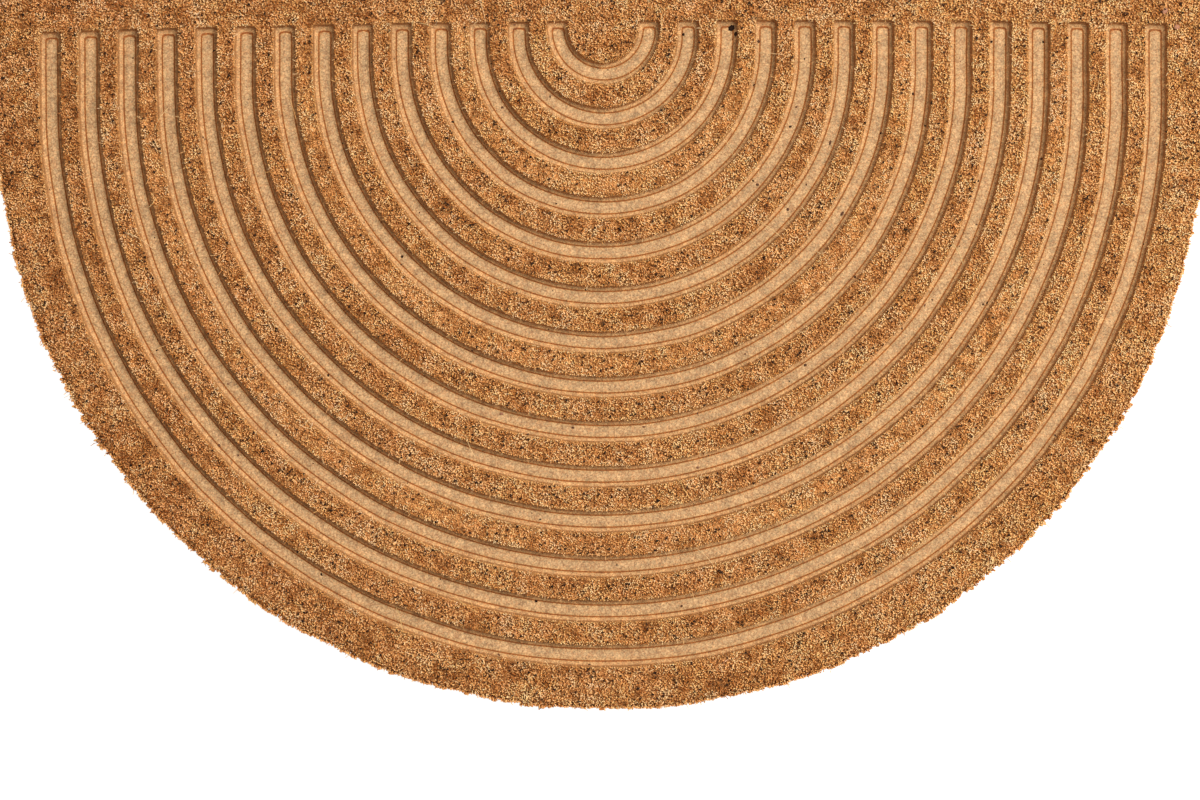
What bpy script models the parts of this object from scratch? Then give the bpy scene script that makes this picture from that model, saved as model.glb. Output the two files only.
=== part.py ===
"""Half-moon doormat of natural coir, with fourteen nested channels pressed into its pile.

Metres, +Z up. The mat lies on its flat underside, with the straight edge towards +Y and the
round edge towards -Y. The pattern is worked out about the centre of the round edge, and the
finished mat is then placed with the middle of its outline over the origin.
"""

import math
from collections import namedtuple

import bmesh
import bpy
from mathutils import Matrix, Vector

MM = 0.001

# The mat: a half circle with a straight strip behind it
MAT_WIDTH = 750 * MM
MAT_DEPTH = 450 * MM
THICKNESS = 16 * MM
ROUND_RADIUS = MAT_WIDTH / 2
STRAIGHT_STRIP = MAT_DEPTH - ROUND_RADIUS
CORNER_RADIUS = 3 * MM
CORNER_STEPS = 3
RIM_SOFTENING = 2.4 * MM
RIM_STEPS = 2
OUTLINE_STEPS = 120

# The channels: each is a half circle with two straight legs, and is centred a little further
# forward than the one inside it. The stamp came down a little to the right of the mat's middle
CHANNEL_COUNT = 14
CHANNEL_PITCH = 24.12 * MM
CHANNEL_CENTRE_STEP = 3.6 * MM
OUTER_CHANNEL_RADIUS = ROUND_RADIUS - 33.1 * MM
STAMP_SHIFT = Vector((0.7 * MM, 0.0, 0.0))
CHANNEL_DEPTH = 8.5 * MM
CHANNEL_FLOOR = THICKNESS - CHANNEL_DEPTH
ABOVE_THE_PILE = 1 * MM
CHORD_ERROR = 0.16 * MM
FEWEST_ARC_STEPS = 14

# The legs stop along a line that is slightly bowed and slightly out of square
LEG_END = 51.6 * MM
LEG_END_BOW = 4.2 * MM
LEG_END_TILT = 2.6 * MM

# Half of a channel's section, from the edge of its flat floor to its mouth
SectionPoint = namedtuple("SectionPoint", "half_width rise")
CHANNEL_SECTION = (
    SectionPoint(half_width=3.9 * MM, rise=0.0),
    SectionPoint(half_width=5.2 * MM, rise=1.1 * MM),
    SectionPoint(half_width=6.0 * MM, rise=6.4 * MM),
    SectionPoint(half_width=7.2 * MM, rise=CHANNEL_DEPTH),
)

# Where the hand-cut round edge swells out or draws in, by the direction below +X
EdgeSwell = namedtuple("EdgeSwell", "towards_deg out half_stretch_deg")
EDGE_SWELLS = (
    EdgeSwell(towards_deg=15, out=-1.9 * MM, half_stretch_deg=7),
    EdgeSwell(towards_deg=53, out=1.8 * MM, half_stretch_deg=13),
    EdgeSwell(towards_deg=92, out=-0.7 * MM, half_stretch_deg=9),
    EdgeSwell(towards_deg=125, out=0.5 * MM, half_stretch_deg=5),
    EdgeSwell(towards_deg=157, out=0.7 * MM, half_stretch_deg=6),
)
EDGE_RIPPLE = 0.35 * MM
EDGE_RIPPLE_WAVES = 27

COIR_COLOUR = (0.47, 0.22, 0.085, 1.0)
COIR_ROUGHNESS = 0.95


def clear_scene():
    for old in list(bpy.data.objects):
        bpy.data.objects.remove(old, do_unlink=True)


def new_collection(name):
    collection = bpy.data.collections.new(name)
    bpy.context.scene.collection.children.link(collection)
    return collection


def coir_material():
    material = bpy.data.materials.new("natural coir")
    material.use_nodes = True
    shader = material.node_tree.nodes["Principled BSDF"]
    shader.inputs["Base Color"].default_value = COIR_COLOUR
    shader.inputs["Roughness"].default_value = COIR_ROUGHNESS
    shader.inputs["Metallic"].default_value = 0.0
    return material


def edge_radius(angle):
    """Radius of the round edge in the direction that is angle radians below +X."""
    ripple = EDGE_RIPPLE * math.sin(EDGE_RIPPLE_WAVES * angle) * math.sin(angle)
    swell = sum(
        s.out * math.exp(-0.5 * ((math.degrees(angle) - s.towards_deg) / s.half_stretch_deg) ** 2)
        for s in EDGE_SWELLS
    )
    return ROUND_RADIUS + ripple + swell


def corner_points(x_side):
    """A rounded corner at the straight edge, listed from the side to the straight edge."""
    centre = Vector((x_side * (ROUND_RADIUS - CORNER_RADIUS), STRAIGHT_STRIP - CORNER_RADIUS))
    points = []
    for step in range(CORNER_STEPS + 1):
        angle = step / CORNER_STEPS * math.pi / 2
        out = Vector((x_side * math.cos(angle), math.sin(angle)))
        points.append(centre + CORNER_RADIUS * out)
    return points


def outline_points():
    """The mat's outline about the centre of its round edge, from +X by way of -Y to -X and back."""
    points = []
    for step in range(OUTLINE_STEPS + 1):
        angle = step / OUTLINE_STEPS * math.pi
        points.append(edge_radius(angle) * Vector((math.cos(angle), -math.sin(angle))))
    return points + corner_points(-1) + corner_points(1)[::-1]


def flat_blank(outline, collection):
    """The uncut mat, as a flat outline with thickness."""
    curve = bpy.data.curves.new("mat outline", "CURVE")
    curve.dimensions = "2D"
    curve.fill_mode = "BOTH"
    curve.extrude = THICKNESS / 2
    spline = curve.splines.new("POLY")
    spline.points.add(len(outline) - 1)
    for point, (x, y) in zip(spline.points, outline):
        point.co = (x, y, 0.0, 1.0)
    spline.use_cyclic_u = True
    flat = bpy.data.objects.new("mat outline", curve)
    flat.location.z = THICKNESS / 2
    collection.objects.link(flat)

    bpy.context.view_layer.update()
    evaluated = flat.evaluated_get(bpy.context.evaluated_depsgraph_get())
    mesh = bpy.data.meshes.new_from_object(evaluated)
    mesh.name = "coir_mat"
    mesh.transform(flat.matrix_world)
    bpy.data.objects.remove(flat, do_unlink=True)
    mat = bpy.data.objects.new("coir_mat", mesh)
    collection.objects.link(mat)
    return mat


def soften_top_rim(mesh):
    """Welds the blank's faces, makes its top one face, and rounds the pile over at the rim."""
    bm = bmesh.new()
    bm.from_mesh(mesh)
    bmesh.ops.remove_doubles(bm, verts=bm.verts, dist=0.01 * MM)
    bmesh.ops.recalc_face_normals(bm, faces=bm.faces)
    for side in (1, -1):
        cap = [face for face in bm.faces if face.normal.z * side > 0.5]
        bmesh.ops.dissolve_faces(bm, faces=cap)
    top = next(face for face in bm.faces if face.normal.z > 0.5)
    bmesh.ops.bevel(
        bm,
        geom=list(top.edges),
        offset=RIM_SOFTENING,
        segments=RIM_STEPS,
        profile=0.5,
        affect="EDGES",
        material=-1,
    )
    bm.to_mesh(mesh)
    bm.free()


def leg_end(x):
    """How far towards +Y a leg at this x reaches."""
    across = x / OUTER_CHANNEL_RADIUS
    return LEG_END - LEG_END_BOW * across**2 + LEG_END_TILT * across


def arc_steps(radius):
    """Flat steps in a half circle that stay within the chord error."""
    steps = math.pi / math.sqrt(8 * CHORD_ERROR / radius)
    return max(FEWEST_ARC_STEPS, math.ceil(steps))


def section_loop():
    """A channel's whole section as (across, height) points, taken above the pile at its mouth."""
    right = [(p.half_width, CHANNEL_FLOOR + p.rise) for p in CHANNEL_SECTION]
    right.append((CHANNEL_SECTION[-1].half_width, THICKNESS + ABOVE_THE_PILE))
    left = [(-across, height) for across, height in reversed(right)]
    return right + left


def new_cap(bm, faces_before):
    """The end face that the last extrusion or spin has left, as geometry for the next one."""
    cap = max((f for f in bm.faces if f not in faces_before), key=lambda f: len(f.verts))
    return [cap, *cap.edges, *cap.verts]


def sweep(bm, cap, move):
    """Extrudes a cap straight to a new place and gives back the new cap."""
    before = set(bm.faces)
    grown = bmesh.ops.extrude_face_region(bm, geom=cap)["geom"]
    verts = [item for item in grown if isinstance(item, bmesh.types.BMVert)]
    bmesh.ops.translate(bm, verts=verts, vec=move)
    return new_cap(bm, before)


def channel_cutter(index, collection):
    """One channel: down its right leg, round its half circle and up its left leg."""
    inward = CHANNEL_COUNT - 1 - index
    radius = OUTER_CHANNEL_RADIUS - CHANNEL_PITCH * inward
    centre = Vector((0.0, CHANNEL_CENTRE_STEP * inward, 0.0))
    bm = bmesh.new()
    verts = [bm.verts.new((radius + across, leg_end(radius), z)) for across, z in section_loop()]
    start = bm.faces.new(verts)
    cap = sweep(bm, [start, *start.edges, *start.verts], Vector((0.0, centre.y - leg_end(radius), 0.0)))
    turned = bmesh.ops.spin(
        bm,
        geom=cap,
        cent=centre,
        axis=(0.0, 0.0, -1.0),
        angle=math.pi,
        steps=arc_steps(radius),
        use_merge=False,
        use_duplicate=False,
    )["geom_last"]
    sweep(bm, turned, Vector((0.0, leg_end(-radius) - centre.y, 0.0)))
    bmesh.ops.recalc_face_normals(bm, faces=bm.faces)

    mesh = bpy.data.meshes.new(f"channel_cutter_{index:02d}")
    bm.to_mesh(mesh)
    bm.free()
    cutter = bpy.data.objects.new(mesh.name, mesh)
    cutter.hide_render = True
    cutter.display_type = "WIRE"
    collection.objects.link(cutter)
    return cutter


def press_channels(mat, cutters):
    """Cuts every channel of the cutters' collection into the mat."""
    pressed = mat.modifiers.new("pressed channels", "BOOLEAN")
    pressed.operation = "DIFFERENCE"
    pressed.solver = "EXACT"
    pressed.operand_type = "COLLECTION"
    pressed.collection = cutters


def build_mat():
    clear_scene()
    parts = new_collection("coir_doormat")
    cutters = new_collection("channel_cutters")
    outline = outline_points()
    mat = flat_blank(outline, parts)
    soften_top_rim(mat.data)
    channels = [channel_cutter(index, cutters) for index in range(CHANNEL_COUNT)]

    lowest = min(y for x, y in outline)
    to_origin = Matrix.Translation((0.0, -(lowest + STRAIGHT_STRIP) / 2, 0.0))
    mat.matrix_world = to_origin
    for channel in channels:
        channel.matrix_world = to_origin @ Matrix.Translation(STAMP_SHIFT)

    press_channels(mat, cutters)
    mat.data.materials.clear()
    mat.data.materials.append(coir_material())


build_mat()
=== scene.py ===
"""Half-moon doormat of natural coir, lying on a pale studio floor and seen from straight above.

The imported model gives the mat's place and size. Its one solid is replaced by a finer body with
the pressed channels in it, and the short cut pile stands on that body as joined meshes of fibres.
Lengths are in metres; a value named in millimetres is multiplied by MM where it is set.
"""

import logging
import math
from dataclasses import dataclass
from enum import Enum

import bmesh
import bpy
import numpy as np
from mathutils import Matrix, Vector


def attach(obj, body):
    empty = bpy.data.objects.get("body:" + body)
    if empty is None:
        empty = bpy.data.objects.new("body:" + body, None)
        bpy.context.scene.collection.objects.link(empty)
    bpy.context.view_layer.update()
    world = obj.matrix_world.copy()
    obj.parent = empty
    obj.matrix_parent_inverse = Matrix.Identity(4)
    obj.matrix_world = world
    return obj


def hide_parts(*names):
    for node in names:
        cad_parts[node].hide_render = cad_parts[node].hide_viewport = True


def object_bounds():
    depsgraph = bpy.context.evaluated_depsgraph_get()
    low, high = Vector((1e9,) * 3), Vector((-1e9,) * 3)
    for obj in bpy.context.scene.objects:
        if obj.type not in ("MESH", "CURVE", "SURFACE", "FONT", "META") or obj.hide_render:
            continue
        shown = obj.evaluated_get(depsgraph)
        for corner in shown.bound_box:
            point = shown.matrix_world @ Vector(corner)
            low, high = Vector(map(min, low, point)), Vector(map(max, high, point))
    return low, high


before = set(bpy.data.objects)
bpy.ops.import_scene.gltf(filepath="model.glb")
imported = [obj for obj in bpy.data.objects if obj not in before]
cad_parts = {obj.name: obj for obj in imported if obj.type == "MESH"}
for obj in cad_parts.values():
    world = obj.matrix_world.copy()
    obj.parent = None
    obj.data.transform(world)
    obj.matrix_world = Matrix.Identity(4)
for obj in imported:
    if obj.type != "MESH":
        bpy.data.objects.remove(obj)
CAD_LOW, CAD_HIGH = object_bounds()

MM = 0.001
NODE = "coir_mat"
BODY = "root"
LOG = logging.getLogger("coir_doormat")

Array = np.ndarray


class SmoothNoise:
    """Seeded random unevenness over the plan, smooth between values one cell apart."""

    GRID = 256

    def __init__(self, seed: int, cell: float) -> None:
        """Draws the values.

        Args:
            seed: Number that fixes the values.
            cell: Distance between two values, in metres.
        """
        self.cell = cell
        self.values = np.random.default_rng(seed).uniform(-1.0, 1.0, (self.GRID, self.GRID))

    def at(self, x: Array, y: Array) -> Array:
        """Reads the noise.

        Args:
            x: Positions along X, in metres.
            y: Positions along Y, in metres.

        Returns:
            Values from -1 to 1, one for each position.
        """
        column, row = x / self.cell, y / self.cell
        left, low = np.floor(column).astype(int), np.floor(row).astype(int)
        across, up = column - left, row - low
        across, up = across * across * (3 - 2 * across), up * up * (3 - 2 * up)
        v, n = self.values, self.GRID
        left, right, low, high = left % n, (left + 1) % n, low % n, (low + 1) % n
        lower = v[low, left] * (1 - across) + v[low, right] * across
        upper = v[high, left] * (1 - across) + v[high, right] * across
        return lower * (1 - up) + upper * up

    def steps(self, x: Array, y: Array) -> Array:
        """Reads the value of the nearest cell, so that it steps sharply between cells."""
        column, row = np.round(x / self.cell).astype(int), np.round(y / self.cell).astype(int)
        return self.values[row % self.GRID, column % self.GRID]


@dataclass(frozen=True)
class EdgeSwell:
    """A stretch where the hand-cut round edge stands out or draws in."""

    towards_deg: float
    out: float
    half_stretch_deg: float


@dataclass(frozen=True)
class MatPlan:
    """The mat seen from above, about the centre of its round edge."""

    channel_count: int = 14
    pitch: float = 24.12 * MM
    centre_step: float = 3.6 * MM
    margin: float = 33.1 * MM
    stamp_shift: float = 0.7 * MM
    straight_strip: float = 75 * MM
    half_mouth: float = 7.2 * MM
    leg_end_middle: float = 51.6 * MM
    leg_end_bow: float = 4.2 * MM
    leg_end_tilt: float = 2.6 * MM
    corner_rounding: float = 2.2 * MM
    # The foot of a channel's end wall is this much longer than that of its side walls
    end_foot: float = 0.7 * MM
    # Insets between which the end wall's extra length is taken up
    foot_inset: float = 2.0 * MM
    groove_inset: float = 3.25 * MM
    edge_ripple: float = 0.35 * MM
    edge_ripple_waves: int = 27
    swells: tuple[EdgeSwell, ...] = (
        EdgeSwell(towards_deg=15, out=-1.9 * MM, half_stretch_deg=7),
        EdgeSwell(towards_deg=53, out=1.8 * MM, half_stretch_deg=13),
        EdgeSwell(towards_deg=92, out=-0.7 * MM, half_stretch_deg=9),
        EdgeSwell(towards_deg=125, out=0.5 * MM, half_stretch_deg=5),
        EdgeSwell(towards_deg=157, out=0.7 * MM, half_stretch_deg=6),
    )
    tufts: SmoothNoise = SmoothNoise(51, 2.9 * MM)
    bites: SmoothNoise = SmoothNoise(52, 6 * MM)
    neatness: SmoothNoise = SmoothNoise(53, 45 * MM)
    # The cut edge's roughness and how it varies; it is neatest at the front of the round edge
    roughness: float = 0.85
    roughness_varies: float = 0.45
    neat_front: float = 0.4
    neat_reach: float = 200 * MM
    stands_out: float = 0.55 * MM
    tuft_size: float = 1.35 * MM
    bite_size: float = 0.7 * MM

    @property
    def round_radius(self) -> float:
        """Radius of the round edge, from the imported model's width."""
        return (CAD_HIGH.x - CAD_LOW.x) / 2

    @property
    def arc_centre_y(self) -> float:
        """Where the centre of the round edge lies along Y in the frame."""
        return CAD_HIGH.y - self.straight_strip

    def placed(self, places: Array, level: Array) -> Array:
        """Points in the frame, from plan positions and heights above the floor."""
        return np.column_stack([places[:, 0], places[:, 1] + self.arc_centre_y, level])

    def radius(self, channel: int) -> float:
        """Radius of a channel's middle line; channel 0 is the innermost."""
        return self.round_radius - self.margin - self.pitch * (self.channel_count - 1 - channel)

    def centre(self, channel: int) -> float:
        """Height of a channel's centre above that of the round edge, along +Y."""
        return self.centre_step * (self.channel_count - 1 - channel)

    def edge_radius(self, angle: Array) -> Array:
        """Radius of the round edge.

        Args:
            angle: Directions in radians below +X.

        Returns:
            The radius in each direction.
        """
        degrees = np.degrees(angle)
        out = self.edge_ripple * np.sin(self.edge_ripple_waves * angle) * np.sin(angle)
        for swell in self.swells:
            out = out + swell.out * np.exp(
                -0.5 * ((degrees - swell.towards_deg) / swell.half_stretch_deg) ** 2
            )
        return self.round_radius + out

    def leg_end(self, x: Array) -> Array:
        """How far towards +Y a channel's leg at x reaches."""
        across = (x - self.stamp_shift) / self.radius(self.channel_count - 1)
        return self.leg_end_middle - self.leg_end_bow * across**2 + self.leg_end_tilt * across

    def beside(self, channel: int, x: Array, y: Array) -> Array:
        """Distance outwards from a channel's middle line.

        Args:
            channel: The channel's number.
            x: Positions along X.
            y: Positions along Y, from the centre of the round edge.

        Returns:
            Distances, negative on the line's inner side.
        """
        centre = self.centre(channel)
        bend = np.hypot(x - self.stamp_shift, np.minimum(y - centre, 0.0))
        return bend - self.radius(channel)

    def inset(self, x: Array, y: Array) -> Array:
        """How far a point lies inside a channel's mouth.

        Args:
            x: Positions along X.
            y: Positions along Y, from the centre of the round edge.

        Returns:
            Distances to the nearest mouth edge, negative on the pile.
        """
        nearest = np.full(np.shape(x), np.inf)
        for channel in range(self.channel_count):
            nearest = np.minimum(nearest, np.abs(self.beside(channel, x, y)))
        across = self.half_mouth - nearest
        along = self.leg_end(x) - y
        foot, groove = self.foot_inset, self.groove_inset
        along = np.where(
            along < foot,
            along,
            np.maximum(
                foot + (along - foot) * (groove - foot) / (groove - foot + self.end_foot),
                along - self.end_foot,
            ),
        )
        blend = np.maximum(self.corner_rounding - np.abs(across - along), 0.0)
        return np.minimum(across, along) - blend**2 / (4 * self.corner_rounding)

    def rib(self, x: Array, y: Array) -> Array:
        """Number of channels that a point lies outside of: 0 is the middle, 14 the margin."""
        return sum(
            (self.beside(channel, x, y) > 0).astype(int) for channel in range(self.channel_count)
        )

    def edge_gap(self, x: Array, y: Array) -> Array:
        """How far a point lies inside the mat's outline.

        Args:
            x: Positions along X.
            y: Positions along Y, from the centre of the round edge.

        Returns:
            Distances, negative outside the outline.
        """
        angle = np.arctan2(np.maximum(-y, 0.0), x)
        round_gap = self.edge_radius(angle) - np.hypot(x, y)
        straight_gap = np.minimum(self.round_radius - np.abs(x), self.straight_strip - y)
        return np.where(y < 0, round_gap, straight_gap)

    def fray(self, x: Array, y: Array) -> Array:
        """How far the tufts of the cut edge stand out of the outline.

        Args:
            x: Positions along X.
            y: Positions along Y, from the centre of the round edge.

        Returns:
            Lengths, negative in the edge's notches.
        """
        neat = self.neat_front * np.clip(1 - np.abs(x) / self.neat_reach, 0.0, 1.0)
        roughness = self.roughness + self.roughness_varies * self.neatness.at(x, y) - neat
        tufts = self.tuft_size * self.tufts.steps(x, y) + self.bite_size * self.bites.at(x, y)
        return self.stands_out + roughness * tufts


@dataclass(frozen=True)
class MatRelief:
    """Heights of the body: the pressed channels, and the roots of the pile between them."""

    plan: MatPlan
    floor: float = 7.5 * MM
    pile_top: float = 16.0 * MM
    rim_drop: float = 2.6 * MM
    rim_width: float = 4.0 * MM
    # Inset from the mouth and height above the floor, in mm: the edge of the pile, the steep
    # wall, its light foot, the scorched groove and the flat band
    section: tuple[tuple[float, float], ...] = (
        (-3.0, 5.6),
        (-1.2, 6.4),
        (-0.3, 6.9),
        (0.2, 6.7),
        (0.5, 5.4),
        (0.75, 2.8),
        (1.0, 1.0),
        (1.5, 0.5),
        (2.0, 0.4),
        (3.25, 0.15),
        (3.5, -0.55),
        (3.8, 0.0),
        (4.4, 0.1),
        (7.2, 0.14),
    )
    # The pile's roots are uneven from this far off a channel's mouth
    even_reach: float = 3.0 * MM
    lump_height: float = 0.55 * MM
    swell_height: float = 0.35 * MM
    lumps: SmoothNoise = SmoothNoise(11, 6 * MM)
    swell: SmoothNoise = SmoothNoise(12, 45 * MM)

    def height(self, x: Array, y: Array, inset: Array) -> Array:
        """Height of the body's top.

        Args:
            x: Positions along X.
            y: Positions along Y, from the centre of the round edge.
            inset: How far each position lies inside a channel's mouth.

        Returns:
            Heights above the floor that the mat lies on.
        """
        insets, heights = np.array(self.section).T * MM
        level = self.floor + np.interp(inset, insets, heights)
        on_pile = np.clip(-inset / self.even_reach, 0.0, 1.0)
        uneven = self.lump_height * self.lumps.at(x, y) + self.swell_height * self.swell.at(x, y)
        near_rim = np.clip(1 - self.plan.edge_gap(x, y) / self.rim_width, 0.0, 1.0)
        return level + on_pile * uneven - self.rim_drop * near_rim**2


@dataclass(frozen=True)
class ColumnGroup:
    """Neighbouring channels whose meshes have the same number of steps along them."""

    channels: range
    arc_steps: int
    leg_steps: int


@dataclass
class MatBody:
    """The mat's own mesh: one closed sheet with the channels pressed into its top."""

    plan: MatPlan
    relief: MatRelief
    # Distances from a channel's middle line at which the mesh has a row, in mm
    row_offsets: tuple[float, ...] = (
        3.0, 3.4, 3.7, 3.95, 5.2, 5.7, 6.2, 6.45, 6.7, 7.0, 8.4,
    )
    # Distances from a leg's end at which the mesh has a station, in mm
    end_offsets: tuple[float, ...] = (
        -1.2, 0.2, 0.5, 0.75, 1.0, 1.5, 2.0, 3.2, 4.45, 4.7, 5.0, 5.4, 6.2,
    )
    back_steps: int = 5
    rib_rows: int = 2
    middle_rows: int = 4
    margin_rows: int = 7
    # The solid sheet stops this far inside the outline, and the frayed rim hides its edge
    drawn_in: float = 1.2 * MM
    # How far each ring of the cut side stands out from the one above it, and its height, in mm
    side_rings: tuple[tuple[float, float], ...] = ((0.35, 8.5), (0.1, 4.0), (-0.4, 0.0))
    groups: tuple[ColumnGroup, ...] = (
        ColumnGroup(range(0, 3), arc_steps=52, leg_steps=2),
        ColumnGroup(range(3, 7), arc_steps=92, leg_steps=5),
        ColumnGroup(range(7, 11), arc_steps=150, leg_steps=8),
        ColumnGroup(range(11, 14), arc_steps=204, leg_steps=10),
    )
    wander: SmoothNoise = SmoothNoise(21, 28 * MM)
    wander_size: float = 0.36 * MM
    fray: SmoothNoise = SmoothNoise(22, 5 * MM)
    fray_size: float = 0.4 * MM
    fray_reach: float = 3.0 * MM
    # Only the channels wander, with this much of the pile beside them
    wander_margin: float = 2.0 * MM
    # The innermost legs are shorter than their end detail, which is squeezed to this spacing
    least_step: float = 0.05 * MM
    # Insets in mm: where the pressed material starts, and a value for the side and underside
    pressed_from: float = 0.1
    side_inset: float = -20.0

    def rows(self, group: ColumnGroup) -> list[tuple[float, float, float]]:
        """The group's rows from the inside out.

        Args:
            group: The channels to cover.

        Returns:
            Radius, centre and share of the way to the outline, for each row.
        """
        plan, last = self.plan, self.plan.channel_count - 1
        offsets = [o * MM for o in self.row_offsets]
        across = [-o for o in reversed(offsets)] + [0.0] + offsets
        rows = []
        for channel in group.channels:
            radius, centre = plan.radius(channel), plan.centre(channel)
            if channel == 0:
                inner = radius + across[0]
                steps = range(self.middle_rows)
                rows += [(inner * i / self.middle_rows, centre, 0.0) for i in steps]
            elif channel > group.channels.start:
                before = plan.radius(channel - 1) + across[-1], plan.centre(channel - 1)
                after = radius + across[0], centre
                for i in range(1, self.rib_rows + 1):
                    share = i / (self.rib_rows + 1)
                    between = [a + (b - a) * share for a, b in zip(before, after)]
                    rows.append((between[0], between[1], 0.0))
            rows += [(radius + a, centre, 0.0) for a in across]
            if channel == last:
                steps = range(1, self.margin_rows + 1)
                rows += [(radius + across[-1], centre, i / self.margin_rows) for i in steps]
        return rows

    def leg(self, radius: float, centre: float, side: int, steps: int) -> Array:
        """Stations down one leg of a row, from the straight edge to the half circle.

        Args:
            radius: The row's radius.
            centre: The row's centre.
            side: 1 for the right leg and -1 for the left.
            steps: Number of steps in the leg below its end detail.

        Returns:
            Heights along Y.
        """
        end = float(self.plan.leg_end(side * radius))
        ends = end - np.array(self.end_offsets) * MM
        ends = np.maximum(ends, centre + self.least_step * np.arange(len(ends), 0, -1))
        back_edge = self.plan.straight_strip - self.drawn_in
        back = np.linspace(back_edge, ends[0], self.back_steps + 1)[:-1]
        down = np.linspace(ends[-1], centre, steps + 1)[1:-1]
        return np.concatenate([back, ends, down])

    def row_points(self, row: tuple[float, float, float], group: ColumnGroup) -> Array:
        """Plan positions of one row.

        Args:
            row: Radius, centre and share of the way to the outline.
            group: The group that the row belongs to.

        Returns:
            An array of x and y, from the right end of the straight edge round to the left.
        """
        radius, centre, share = row
        edge = self.plan.round_radius - self.drawn_in
        shift = self.plan.stamp_shift * (1 - share)
        leg_radius = radius + (edge - radius) * share
        right, left = (self.leg(leg_radius, centre, side, group.leg_steps) for side in (1, -1))
        angle = np.linspace(0.0, math.pi, group.arc_steps + 1)
        bend = radius + (self.plan.edge_radius(angle) - self.drawn_in - radius) * share
        x = np.concatenate([np.full(len(right), leg_radius), bend * np.cos(angle)])
        y = np.concatenate([right, centre - bend * np.sin(angle)])
        x = np.concatenate([x, np.full(len(left), -leg_radius)])
        y = np.concatenate([y, left[::-1]])
        return np.column_stack([x + shift, y])

    def wavy(self, points: Array, inset: Array) -> Array:
        """Adds the small wander of the pressed lines and of the frayed mouths.

        Args:
            points: Plan positions.
            inset: How far each position lies inside a channel's mouth.

        Returns:
            The shifted plan positions.
        """
        x, y = points[:, 0], points[:, 1]
        at_mouth = np.clip(1 - np.abs(inset) / self.fray_reach, 0.0, 1.0)
        inside = (inset > -self.wander_margin).astype(float)
        shift = self.wander_size * self.wander.at(x, y)
        shift = inside * (shift + self.fray_size * at_mouth * self.fray.at(x, y))
        length = np.maximum(np.hypot(x, y), 1e-6)
        return points + (shift / length)[:, None] * points

    def add_group(self, bm: bmesh.types.BMesh, group: ColumnGroup) -> tuple[list, list]:
        """Adds one group of rows as a grid that is bent round the arcs.

        Args:
            bm: The mesh to add to.
            group: The group of channels.

        Returns:
            The vertices of its innermost and of its outermost row.
        """
        rows = self.rows(group)
        points = np.concatenate([self.row_points(row, group) for row in rows])
        columns = len(points) // len(rows)
        made = bmesh.ops.create_grid(
            bm, x_segments=columns - 1, y_segments=len(rows) - 1, size=1.0
        )["verts"]
        inset = self.plan.inset(points[:, 0], points[:, 1])
        height = self.relief.height(points[:, 0], points[:, 1], inset)
        placed = self.wavy(points, inset)
        layer = bm.verts.layers.float["channel_inset"]
        for vert, (x, y), z, depth in zip(made, placed, height, inset):
            vert.co = (x, y + self.plan.arc_centre_y, z)
            vert[layer] = depth / MM
        return made[:columns], made[-columns:]

    @staticmethod
    def chain(verts: list) -> list:
        """Finds the edges along a row.

        Args:
            verts: The row's vertices, in order.

        Returns:
            The edges that join neighbouring vertices.
        """
        found = []
        for one, other in zip(verts, verts[1:]):
            found += [edge for edge in one.link_edges if edge.other_vert(one) == other]
        return found

    def close_below(self, bm: bmesh.types.BMesh) -> None:
        """Adds the cut side and the flat underside to the finished top.

        Args:
            bm: The mesh, which holds the top alone.
        """
        loop = [edge for edge in bm.edges if edge.is_boundary]
        layer = bm.verts.layers.float["channel_inset"]
        for out, height in self.side_rings:
            made = bmesh.ops.extrude_edge_only(bm, edges=loop)["geom"]
            loop = [item for item in made if isinstance(item, bmesh.types.BMEdge)]
            for vert in (item for item in made if isinstance(item, bmesh.types.BMVert)):
                away = Vector((vert.co.x, vert.co.y - self.plan.arc_centre_y)).normalized()
                vert.co.xy += away * out * MM
                vert.co.z = height * MM
                vert[layer] = self.side_inset
        bmesh.ops.contextual_create(bm, geom=loop)

    def build(self) -> bpy.types.Object:
        """Builds the body.

        Returns:
            The finished object, without materials.
        """
        bm = bmesh.new()
        bm.verts.layers.float.new("channel_inset")
        outer = None
        for group in self.groups:
            first, last = self.add_group(bm, group)
            if outer is not None:
                bmesh.ops.bridge_loops(bm, edges=self.chain(outer) + self.chain(first))
            outer = last
        bmesh.ops.remove_doubles(bm, verts=bm.verts, dist=0.01 * MM)
        self.close_below(bm)
        bmesh.ops.recalc_face_normals(bm, faces=bm.faces)
        layer = bm.verts.layers.float["channel_inset"]
        for face in bm.faces:
            depth = sum(vert[layer] for vert in face.verts) / len(face.verts)
            underside = face.normal.z < -0.9
            # Slot 0 is the pressed coir, 1 the pile's roots and 2 the underside
            face.material_index = 2 if underside else 0 if depth > self.pressed_from else 1
            face.smooth = not underside
        return new_object("mat_body", bm)


def new_object(name: str, bm: bmesh.types.BMesh) -> bpy.types.Object:
    """Makes an object at the origin from a finished mesh and frees the mesh.

    Args:
        name: The object's name.
        bm: The finished mesh.

    Returns:
        The object, in the scene.
    """
    mesh = bpy.data.meshes.new(name)
    bm.to_mesh(mesh)
    bm.free()
    made = bpy.data.objects.new(name, mesh)
    bpy.context.scene.collection.objects.link(made)
    return made


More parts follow.
